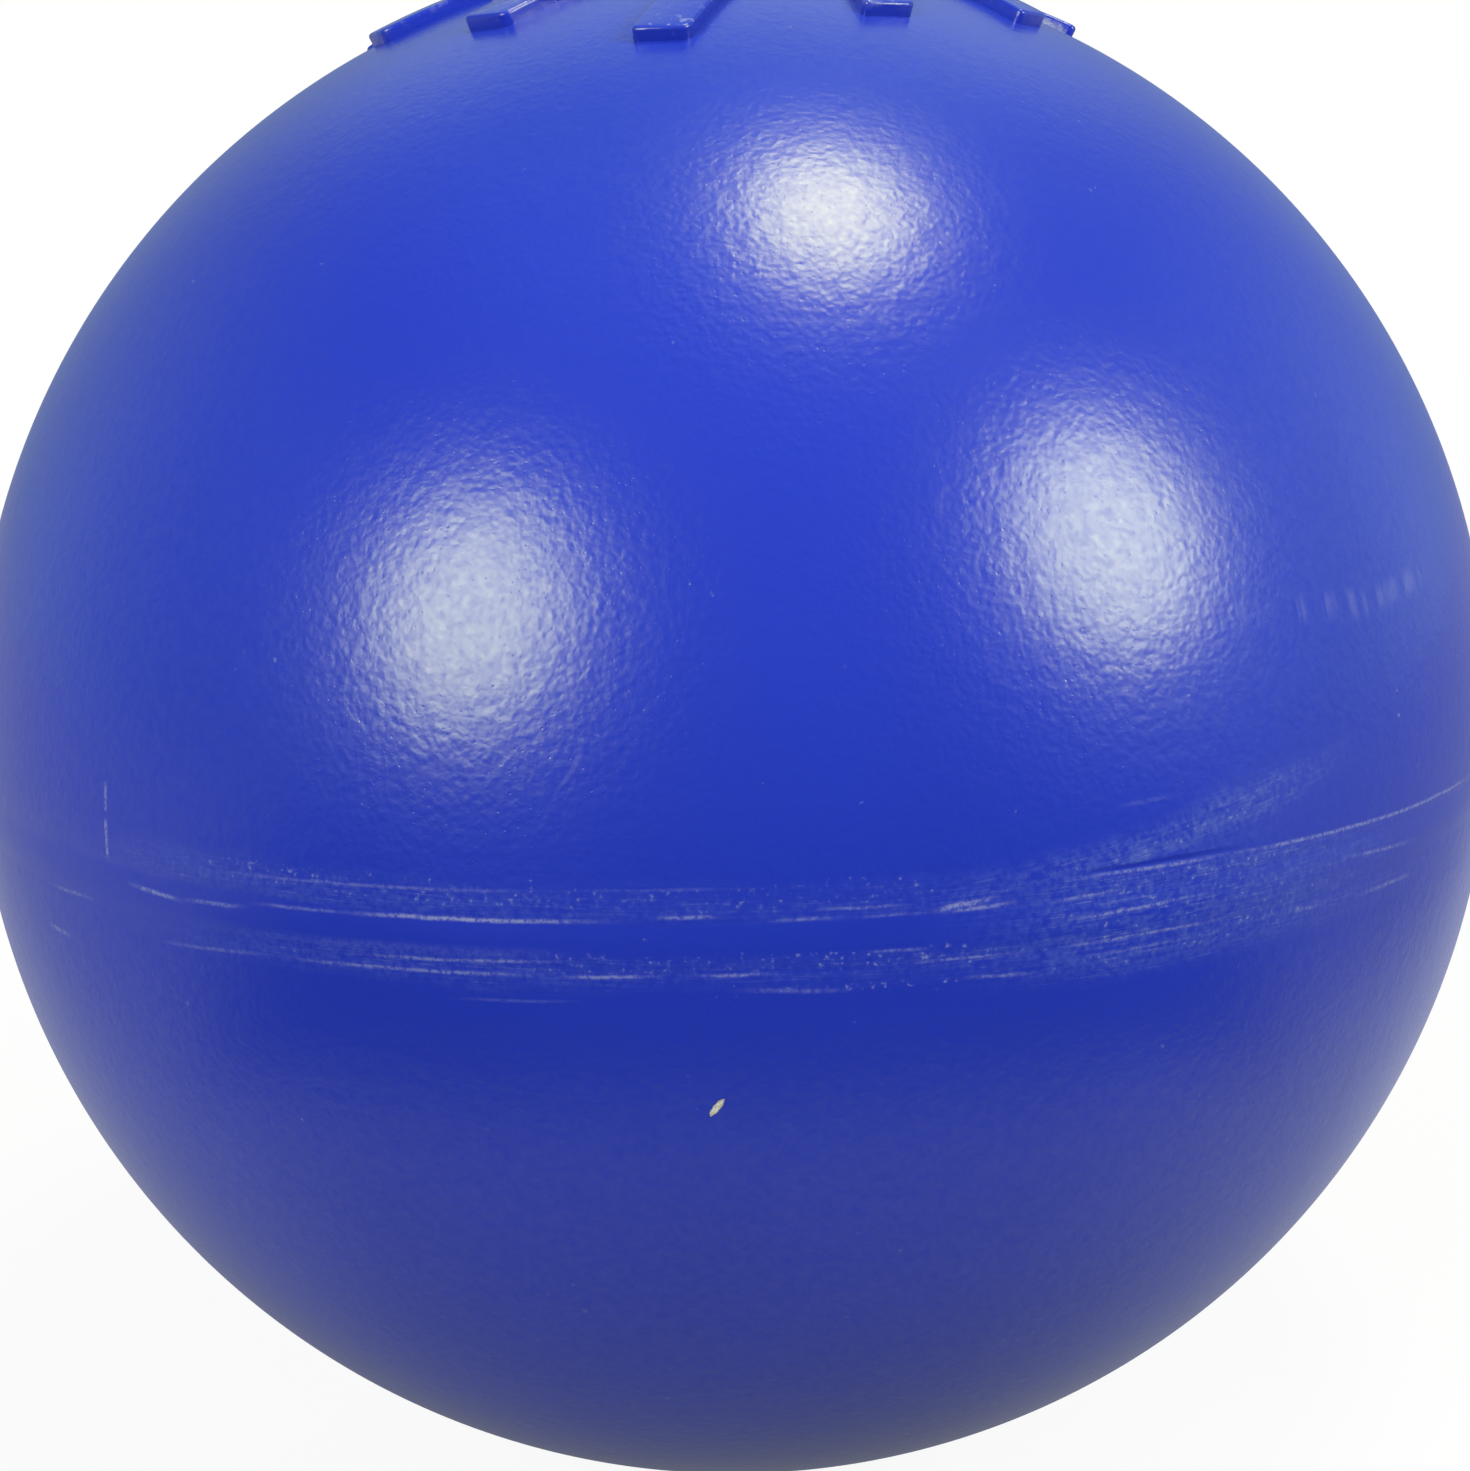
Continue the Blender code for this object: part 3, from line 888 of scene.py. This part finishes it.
def lowerShell():
    # the boss runs into the inner wall by a fillet that touches both
    filletX = filler["boss"] + filler["bossFillet"]
    filletZ = -math.sqrt((innerRadius - filler["bossFillet"]) ** 2 - filletX ** 2)
    filletEnd = math.degrees(math.atan2(filletX, filletZ))
    fillet = arcPoints(filler["bossFillet"], -90, filletEnd - 360, filler["filletSteps"], (filletX, filletZ))
    innerRim = 180 - rimAngle(innerRadius, shell["rimInside"])
    inner = arcPoints(innerRadius, filletEnd, innerRim, shell["innerRings"])
    outerRim = 180 - rimAngle(shell["radius"], shell["rimGap"])
    landingAngle = 180 - math.degrees(math.asin(filler["landing"] / shell["radius"]))
    outer = arcPoints(shell["radius"], outerRim, landingAngle, shell["outerRings"])
    ridge = [(shell["radius"] - shell["wall"] / 2, -shell["ridge"])]
    boss = [(0, filler["top"]), (filler["boss"] - filler["chamfer"], filler["top"]),
            (filler["boss"], filler["top"] - filler["chamfer"])]
    base = [(filler["recess"] + filler["chamfer"], 0), (filler["recess"], filler["chamfer"]),
            (filler["recess"], filler["face"]), (0, filler["face"])]
    bowl = lifted(fillet + inner[1:] + ridge + outer)
    bowl[-1] = (filler["landing"], 0)
    piece = toObject(lathe(boss + bowl + base, shell["steps"]), "lowerShell")
    pocket = rod(filler["pocket"], filler["face"] - filler["over"], filler["top"] + filler["over"])
    carve(piece, pocket, "DIFFERENCE")
    flangePocket = hexPrism(filler["flange"] + filler["gap"] * filler["corner"],
                            filler["face"] + filler["flangeLow"] - filler["gap"],
                            filler["face"] + filler["flangeHigh"] + filler["gap"])
    carve(piece, flangePocket, "DIFFERENCE")
    dress(piece, skinMaterial, "lower_shell", "ball")


# weld ring: skived land outside, double roll inside

weld = {
    "landHalf": 3.4 * mm,
    "proud": 0.10 * mm,
    "dipAt": 0.92,           # share of the land's half width where it dips under the shells' skin
    "edgeWander": 0.09,
    "wanderScales": (55, 260),
    "fineWander": 0.4,       # share of the second scale
    "edgesApart": 0.3,       # so that the two edges wander on their own
    "sink": 0.35 * mm,
    "rootHalf": 2.3 * mm,
    "webHalf": 0.8 * mm,
    "halfSteps": 8,          # over half the land, and over a roll
    "steps": 480,
}


def seamWeld():
    half = weld["landHalf"]
    across = []
    for step in range(2 * weld["halfSteps"] + 1):
        side = 1 - step / weld["halfSteps"]
        swell = weld["proud"] * (1 - (side / weld["dipAt"]) ** 2)
        across.append((math.sqrt(shell["radius"] ** 2 - (half * side) ** 2) + swell, half * side))
    root = shell["radius"] - weld["sink"]
    inside = math.sqrt(innerRadius ** 2 - half ** 2)
    roll = arcPoints(half / 2, 180, 360, weld["halfSteps"], (inside, -half / 2))
    web = (shell["radius"] - shell["wall"] / 2, -weld["webHalf"])
    below = [(root, -half), (root, -weld["rootHalf"]), web] + roll[:-1]
    above = [(r, -z) for r, z in reversed(below)]
    bm = lathe(lifted(across + below + [(inside, 0)] + above), weld["steps"], closed=True)
    coarse, fine = weld["wanderScales"]
    for vert in bm.verts:
        # the knife never ran quite straight, so both edges of the land wander
        if math.hypot(vert.co.x, vert.co.y) > root - hair:
            side = vert.co.z - seamHeight
            spot = Vector((vert.co.x, vert.co.y, math.copysign(weld["edgesApart"], side)))
            drift = noise.noise(spot * coarse) + weld["fineWander"] * noise.noise(spot * fine)
            vert.co.z = seamHeight + side * (1 + weld["edgeWander"] * drift)
    piece = toObject(bm, "seamWeld")
    dress(piece, skinMaterial, "seam_weld", "ball", 40)


# filler fittings: insert, plug and sealing ring

thread = {
    "pitch": 3.0 * mm,
    "plugRoot": 11.8 * mm,
    "plugCrest": 13.0 * mm,
    "insertCrest": 12.1 * mm,
    "ridgeFoot": 1.75 * mm,
    "ridgeTop": 0.75 * mm,
    "sunk": 0.3 * mm,            # how deep a ridge is rooted
    "fadeTurns": 0.3,
    "insertTurns": 4.2,
    "overGland": 1.25 * mm,      # first ridge above the gland's floor
    "plugTip": 1.2 * mm,         # bare end of the plug's shank
    "stepsPerTurn": 72,
}


def helixRidge(foot, crest, low, turns, name):
    # a screw ridge swept by spin, with its two ends faded out
    bm = bmesh.new()
    sunk = foot + math.copysign(thread["sunk"], foot - crest)
    halfFoot, halfTop = thread["ridgeFoot"] / 2, thread["ridgeTop"] / 2
    corners = [(sunk, -halfFoot), (foot, -halfFoot), (crest, -halfTop),
               (crest, halfTop), (foot, halfFoot), (sunk, halfFoot)]
    verts = [bm.verts.new((r, 0, low + z)) for r, z in corners]
    section = bm.faces.new(verts)
    steps = int(turns * thread["stepsPerTurn"])
    bmesh.ops.spin(bm, geom=[section] + list(section.edges) + verts, cent=(0, 0, 0), axis=(0, 0, 1),
                   dvec=(0, 0, thread["pitch"] * turns / steps), angle=math.tau * turns, steps=steps)
    for vert in bm.verts:
        radius = math.hypot(vert.co.x, vert.co.y)
        if abs(radius - crest) > hair:
            continue
        done = (vert.co.z - low) / (thread["pitch"] * turns)
        fade = min(1.0, max(0.0, min(done, 1 - done) * turns / thread["fadeTurns"]))
        faded = foot + (crest - foot) * fade
        vert.co.x *= faded / radius
        vert.co.y *= faded / radius
    bmesh.ops.recalc_face_normals(bm, faces=bm.faces)
    return toObject(bm, name)


def threadedInsert():
    face = filler["face"]
    length = filler["top"] - face
    profile = [(filler["insert"], length), (filler["insert"], 0), (filler["gland"], 0),
               (filler["gland"], filler["glandDepth"]), (filler["bore"], filler["glandDepth"]),
               (filler["bore"], length)]
    bm = lathe(lifted(profile, face), filler["steps"], closed=True)
    softenEdges(bm, sharpEdges(bm, 40), filler["edge"], 2)
    piece = toObject(bm, "threadedInsert")
    flange = hexPrism(filler["flange"], face + filler["flangeLow"], face + filler["flangeHigh"])
    carve(flange, rod(filler["bore"] + filler["over"], face, filler["top"]), "DIFFERENCE")
    carve(piece, flange, "UNION")
    low = face + filler["glandDepth"] + thread["overGland"]
    ridge = helixRidge(filler["bore"], thread["insertCrest"], low, thread["insertTurns"], "insertThread")
    carve(piece, ridge, "UNION")
    dress(piece, insertNylon(), "threaded_insert", "ball")


plug = {
    "head": 19.4 * mm,
    "neck": 12.4 * mm,
    "hollow": 9.4 * mm,
    "edge": 0.6 * mm,
    "runOut": 0.6 * mm,      # slope from the neck down to the thread's root
    "slotWidth": 3.2 * mm,
    "slotFloor": 2.0 * mm,
    "coin": 13.0 * mm,       # radius of the cutter that leaves the slot
    "coinSteps": 72,
}


def fillerPlug():
    seat = filler["face"] - filler["gap"]
    bottom, top = plugLow.z, plugHigh.z
    neckTop = filler["face"] + filler["glandDepth"]
    root, head, edge = thread["plugRoot"], plug["head"], plug["edge"]
    shank = [(0, seat), (plug["hollow"], seat), (plug["hollow"], top), (root - edge, top), (root, top - edge),
             (root, neckTop + plug["runOut"]), (plug["neck"], neckTop), (plug["neck"], seat)]
    rim = [(head - edge, seat), (head, seat - edge), (head, bottom + edge), (head - edge, bottom),
           (0, bottom)]
    bm = lathe(shank + rim, filler["steps"])
    softenEdges(bm, sharpEdges(bm, 35), filler["edge"], 2)
    piece = toObject(bm, "fillerPlug")
    coin = bmesh.new()
    bmesh.ops.create_cone(coin, cap_ends=True, segments=plug["coinSteps"], radius1=plug["coin"],
                          radius2=plug["coin"], depth=plug["slotWidth"])
    bmesh.ops.rotate(coin, verts=coin.verts, cent=(0, 0, 0), matrix=Matrix.Rotation(math.pi / 2, 3, "X"))
    bmesh.ops.translate(coin, verts=coin.verts, vec=(0, 0, seat - plug["slotFloor"] - plug["coin"]))
    carve(piece, toObject(coin, "coin"), "DIFFERENCE")
    low = filler["face"] + filler["glandDepth"] + thread["overGland"] + thread["pitch"] / 2
    turns = (top - thread["plugTip"] - low) / thread["pitch"]
    carve(piece, helixRidge(root, thread["plugCrest"], low, turns, "plugThread"), "UNION")
    dress(piece, plugSkin(), "filler_plug", "plug")


def sealingRing(sectionSteps=24):
    # a round section swept about the plug's axis
    section = (ringHigh.z - ringLow.z) / 2
    middle = (ringHigh.x - section, (ringHigh.z + ringLow.z) / 2)
    circle = arcPoints(section, 0, 360, sectionSteps, middle)[:-1]
    piece = toObject(lathe(circle, filler["steps"], closed=True), "sealingRing")
    dress(piece, sealRubber(), "sealing_ring", "plug_travel", 60)


upperShell()
lowerShell()
seamWeld()
threadedInsert()
fillerPlug()
sealingRing()
print("pieces ready")


# lamps, floor and world

lamps = [
    # name, azimuth, elevation, width and height (degrees across), turn, radiance, colour
    ("leftLamp", -36.5, 23.8, 24.4, 28.0, 0, 13.1, (0.99, 1.0, 1.0)),
    ("rightLamp", 57.2, 27.2, 25.0, 26.4, 0, 13.9, (0.99, 1.0, 0.96)),
    ("topLamp", 57.0, 76.3, 16.8, 20.8, -57, 19.3, (1.0, 0.96, 0.62)),
    ("backLamp", 180.0, 8.0, 34.0, 24.0, 0, 7.5, (1.0, 1.0, 1.0)),
]
lampDistance = 1.1
ballCentre = Vector((0, 0, seamHeight))


def direction(azimuth, elevation):
    a, e = math.radians(azimuth), math.radians(elevation)
    return Vector((math.sin(a) * math.cos(e), -math.cos(a) * math.cos(e), math.sin(e)))


def addLamp(name, azimuth, elevation, width, height, turn, radiance, colour):
    light = bpy.data.lights.new(name, "AREA")
    light.shape = "ELLIPSE"
    light.size = 2 * lampDistance * math.tan(math.radians(width / 2))
    light.size_y = 2 * lampDistance * math.tan(math.radians(height / 2))
    light.energy = radiance * math.pi * math.pi * light.size * light.size_y / 4
    light.color = colour
    lamp = bpy.data.objects.new(name, light)
    lamp.location = ballCentre + direction(azimuth, elevation) * lampDistance
    facing = (-direction(azimuth, elevation)).to_track_quat("-Z", "Y").to_matrix()
    lamp.rotation_euler = (facing @ Matrix.Rotation(math.radians(turn), 3, "Z")).to_euler()
    lamp.visible_glossy = name != "backLamp"     # it only fills, and isn't mirrored round the outline
    scene.collection.objects.link(lamp)


def rayKinds(g):
    return g.tree.nodes.new("ShaderNodeLightPath").outputs


floorLook = {
    "half": 6.0,
    "drop": 0.2 * mm,               # keeps it clear of the landing
    "foot": 10 * mm,                # rounds off the middle, where no side is nearest
    "near": 0.92,                   # white the camera sees beside the ball, the rest keeps its shadow
    "shadowReach": (0.10, 0.45),
    "frontFade": (0.31, 0.19),      # in front the lit floor ends here, metres from the ball's foot
    "sideFade": (-0.62, -0.25),
    "frontTurn": (-0.9, -0.5),      # between the light in front and that at the sides
    "contact": (0.05, 0.20, 0.54, 1.0),    # the floor brightens over this reach from the foot
    "sideFar": (0.22, 0.38),        # and dims over this one to the sides, sooner in front than behind,
    "sideLean": -0.35,
    "farShare": (0.88, 0.55),       # to this share on the left and on the right
    "leftRight": (0.87, 1.15),
    "tint": rgb(0.885, 0.933, 1.0),
    "shine": (0.03, 0.57, 0.645),   # mirrored by the ball: far in front, close in front, sides and back
    "bounce": (0.03, 0.45, 0.80),   # lighting the ball, in the same places
}


def floorLight(g):
    # lit beside and behind the ball, dark in front of it
    x, y = g.parts(g.where["Object"])[:2]
    away = g.math("SQRT", g.plus(g.times(x, x), g.times(y, y), floorLook["foot"] ** 2))
    facing = g.math("DIVIDE", y, away)      # -1 in front of the ball, 1 behind
    across = g.math("DIVIDE", x, away)      # -1 on its left, 1 on its right
    near = g.most(g.ease(away, *floorLook["frontFade"]), g.ease(facing, *floorLook["sideFade"]))
    sideways = g.plus(g.off(x), g.times(y, floorLook["sideLean"]))
    farShare = g.line(across, -1.0, 1.0, *floorLook["farShare"])
    falloff = g.times(g.ease(away, *floorLook["contact"]),
                      g.ease(sideways, *floorLook["sideFar"], 1.0, farShare),
                      g.line(across, -1.0, 1.0, *floorLook["leftRight"]))

    def spread(far, front, sides):
        close = g.line(facing, *floorLook["frontTurn"], front, sides)
        return g.times(g.line(near, 0.0, 1.0, far, close), falloff)

    return away, spread(*floorLook["shine"]), spread(*floorLook["bounce"])


def paleFloor():
    # the camera sees white with a trace of shadow, and from below it sees through
    material = bpy.data.materials.new("paleFloor")
    g = Graph(material)
    g.tree.nodes.remove(g.tree.nodes["Principled BSDF"])
    rays = rayKinds(g)
    away, shine, bounce = floorLight(g)
    white = g.tree.nodes.new("ShaderNodeEmission")
    g.put(white.inputs["Color"], g.blend(rays["Is Glossy Ray"], rgb(1, 1, 1), floorLook["tint"]))
    g.put(white.inputs["Strength"], g.seenAs(rays, shine, bounce))
    shade = g.tree.nodes.new("ShaderNodeBsdfDiffuse")
    eye = g.ease(away, *floorLook["shadowReach"], floorLook["near"], 1.0)
    seen = g.mixed(g.line(rays["Is Camera Ray"], 0.0, 1.0, 1.0, eye), shade, white)
    below = g.tree.nodes.new("ShaderNodeNewGeometry").outputs["Backfacing"]
    under = g.mixed(below, seen, g.tree.nodes.new("ShaderNodeBsdfTransparent"))
    g.put(g.tree.nodes["Material Output"].inputs["Surface"], under.outputs[0])
    return material


def makeFloor():
    bm = bmesh.new()
    bmesh.ops.create_grid(bm, x_segments=1, y_segments=1, size=floorLook["half"])
    bmesh.ops.translate(bm, verts=bm.verts, vec=(0, 0, -floorLook["drop"]))
    floor = toObject(bm, "floor")
    floor.data.materials.append(paleFloor())


# the room, by the direction it is looked at: x to the right, y to the back, z up
# each step gives where it starts and ends, and what it goes from and to
roomLook = {
    "softAbove": (0.2, 0.9, 0.02, 0.15),
    "softUnder": (-0.05, -0.5, 0.0, 0.45),     # reaches only what hangs below the floor
    "backShine": (-0.3, 0.9, 0.02, 0.43),      # what a shiny surface meets
    "sideShine": (0.6, 1.0, 0.0, 0.33),
    "rightShine": (0.6, 0.95, 0.0, 0.16),
    "middle": (0.62, 0.28),
    "highFrom": (0.25, 0.68),
    "highShine": (0.3, 0.7, 0.0, 0.42),
    "above": (0.3, 0.8),
    "aboveEnd": (0.65, 0.35),
    "aboveFront": (-0.6, -0.1),
    "aboveShine": (0.45, 0.15, 0.0, 0.28),
    "coolShine": rgb(0.75, 0.96, 1.0),
    "skyShine": rgb(0.50, 0.96, 1.0),
}


def makeWorld():
    world = bpy.data.worlds.new("studio")
    scene.world = world
    g = Graph(world)
    rays = rayKinds(g)
    x, y, z = g.parts(g.where["Generated"])
    side = g.off(x)
    middle = g.ease(side, *roomLook["middle"])
    above = g.times(g.ease(z, *roomLook["above"]), g.ease(y, *roomLook["aboveEnd"]), middle)
    shine = g.plus(g.ease(y, *roomLook["backShine"]), g.ease(side, *roomLook["sideShine"]),
                   g.ease(x, *roomLook["rightShine"]),
                   g.times(g.ease(y, *roomLook["highFrom"]), middle, g.ease(z, *roomLook["highShine"])),
                   g.times(above, g.ease(y, *roomLook["aboveFront"]), g.ease(y, *roomLook["aboveShine"])))
    soft = g.plus(g.ease(z, *roomLook["softAbove"]), g.ease(z, *roomLook["softUnder"]))
    mirrored = g.blend(above, roomLook["coolShine"], roomLook["skyShine"])
    background = g.tree.nodes["Background"]
    g.put(background.inputs["Color"], g.blend(rays["Is Glossy Ray"], rgb(1, 1, 1), mirrored))
    g.put(background.inputs["Strength"], g.seenAs(rays, shine, soft))


for lamp in lamps:
    addLamp(*lamp)
makeFloor()
makeWorld()
print("stage ready")


# camera, as the photo was taken: three radii from the ball's centre, a little above the seam

view = {
    "distance": 3.0 * shell["radius"],
    "elevation": 12.6,
    "roll": -1.28,
    "focalPixels": 2145.0,
    "imageHeight": 1471,     # pixels
    "sensor": 36.0,
    "aimDown": 0.484,
    "aimRight": 0.052,
    "clipStart": 10 * mm,
}


def makeCamera():
    data = bpy.data.cameras.new("camera")
    data.sensor_width = view["sensor"]
    data.lens = view["focalPixels"] / view["imageHeight"] * data.sensor_width
    data.clip_start = view["clipStart"]
    camera = bpy.data.objects.new("camera", data)
    scene.collection.objects.link(camera)
    away = direction(0, view["elevation"])
    camera.location = ballCentre + away * view["distance"]
    facing = (-away).to_track_quat("-Z", "Y").to_matrix()
    roll = Matrix.Rotation(math.radians(view["roll"]), 3, "Z")
    down = Matrix.Rotation(math.radians(-view["aimDown"]), 3, "X")
    right = Matrix.Rotation(math.radians(-view["aimRight"]), 3, "Y")
    camera.rotation_euler = (facing @ roll @ down @ right).to_euler()
    scene.camera = camera


makeCamera()
print("camera ready")
